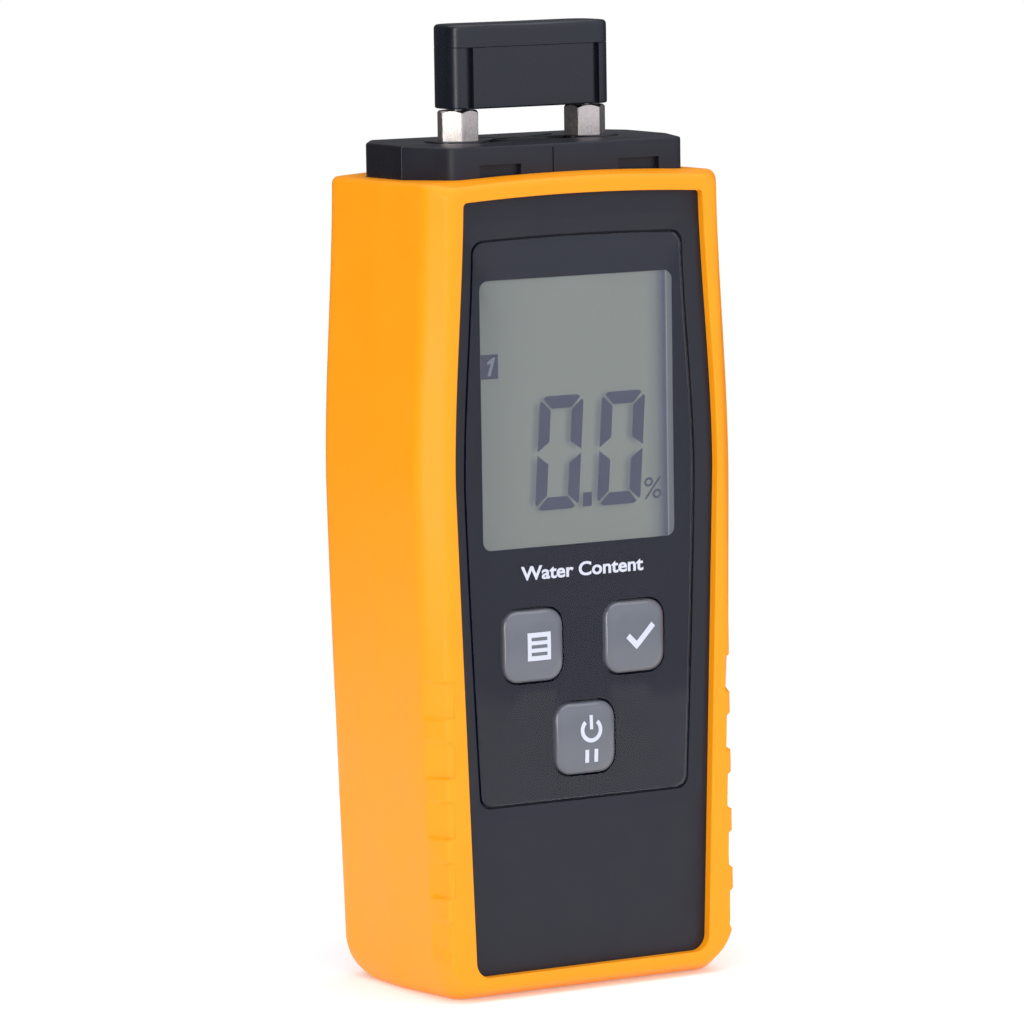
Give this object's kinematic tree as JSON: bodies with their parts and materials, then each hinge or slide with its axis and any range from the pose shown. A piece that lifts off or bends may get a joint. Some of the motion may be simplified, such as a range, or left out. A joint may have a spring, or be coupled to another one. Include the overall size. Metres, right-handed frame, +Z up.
{
  "type": "moisture meter",
  "caption": "Handheld pin-type moisture meter in a soft holster boot, with display window, keys, screw-in needle electrodes and a pull-off pin cap.",
  "frame": {"origin": "centre of the bounding box on the ground, under the boot's flat foot", "axes": "+Z up along the meter towards the needles, -Y out of the display, +X to the right seen from the front"},
  "size_m": [0.0588, 0.0352, 0.1546],
  "materials": {
    "boot_silicone": "orange moulded silicone, satin",
    "case_abs": "charcoal ABS, fine spark texture",
    "cap_abs": "charcoal ABS, satin",
    "lens_acrylic": "clear acrylic sheet, printed on the back",
    "display_glass": "grey-green liquid crystal cell",
    "white_plastic": "natural moulded plastic",
    "strip_silicone": "layered silicone strip",
    "circuit_board": "solder mask on glass epoxy",
    "chip_epoxy": "black epoxy",
    "key_plastic": "grey, glossy",
    "turned_brass": "turned",
    "wire_red": "PVC insulation",
    "nickel_plate": "dull nickel on milled brass",
    "needle_steel": "ground",
    "cell_jacket": "printed sleeve",
    "spring_steel": "nickel plated",
    "screw_steel": "zinc plated"
  },
  "bodies": {
    "meter": {"boot": "boot_silicone", "front_case": "case_abs", "back_case": "case_abs", "window_lens": "lens_acrylic", "lcd_glass": "display_glass", "lcd_frame": "white_plastic", "light_guide": "white_plastic", "contact_strips": "strip_silicone", "main_board": "circuit_board", "board_chips": "chip_epoxy", "switch_bodies": "chip_epoxy", "electrode_carrier": "case_abs", "threaded_sockets": "turned_brass", "electrode_leads": "wire_red", "hex_collar_left": "nickel_plate", "hex_collar_right": "nickel_plate", "needle_left": "needle_steel", "needle_right": "needle_steel", "battery_left": "cell_jacket", "battery_right": "cell_jacket", "contact_plates": "spring_steel", "contact_springs": "spring_steel", "battery_leads": "wire_red", "case_screws": "screw_steel", "board_screws": "screw_steel"},
    "cap": {"pin_cap": "cap_abs"},
    "door": {"battery_door": "case_abs"},
    "mode_key": {"button_mode": "key_plastic", "plunger_mode": "white_plastic"},
    "set_key": {"button_set": "key_plastic", "plunger_set": "white_plastic"},
    "power_key": {"button_power": "key_plastic", "plunger_power": "white_plastic"}
  },
  "joints": [
    {"name": "cap_pull", "type": "slide", "parent": "meter", "child": "cap", "axis": [0, 0, 1], "range_m": [0, 0.03]},
    {"name": "door_lift", "type": "slide", "parent": "meter", "child": "door", "axis": [0, 1, 0], "range_m": [0, 0.014]},
    {"name": "mode_press", "type": "slide", "parent": "meter", "child": "mode_key", "axis": [0, 1, 0], "range_m": [0, 0.0005], "stiffness_N_per_m": 1500},
    {"name": "set_press", "type": "slide", "parent": "meter", "child": "set_key", "axis": [0, 1, 0], "range_m": [0, 0.0005], "stiffness_N_per_m": 1500},
    {"name": "power_press", "type": "slide", "parent": "meter", "child": "power_key", "axis": [0, 1, 0], "range_m": [0, 0.0005], "stiffness_N_per_m": 1500}
  ]
}
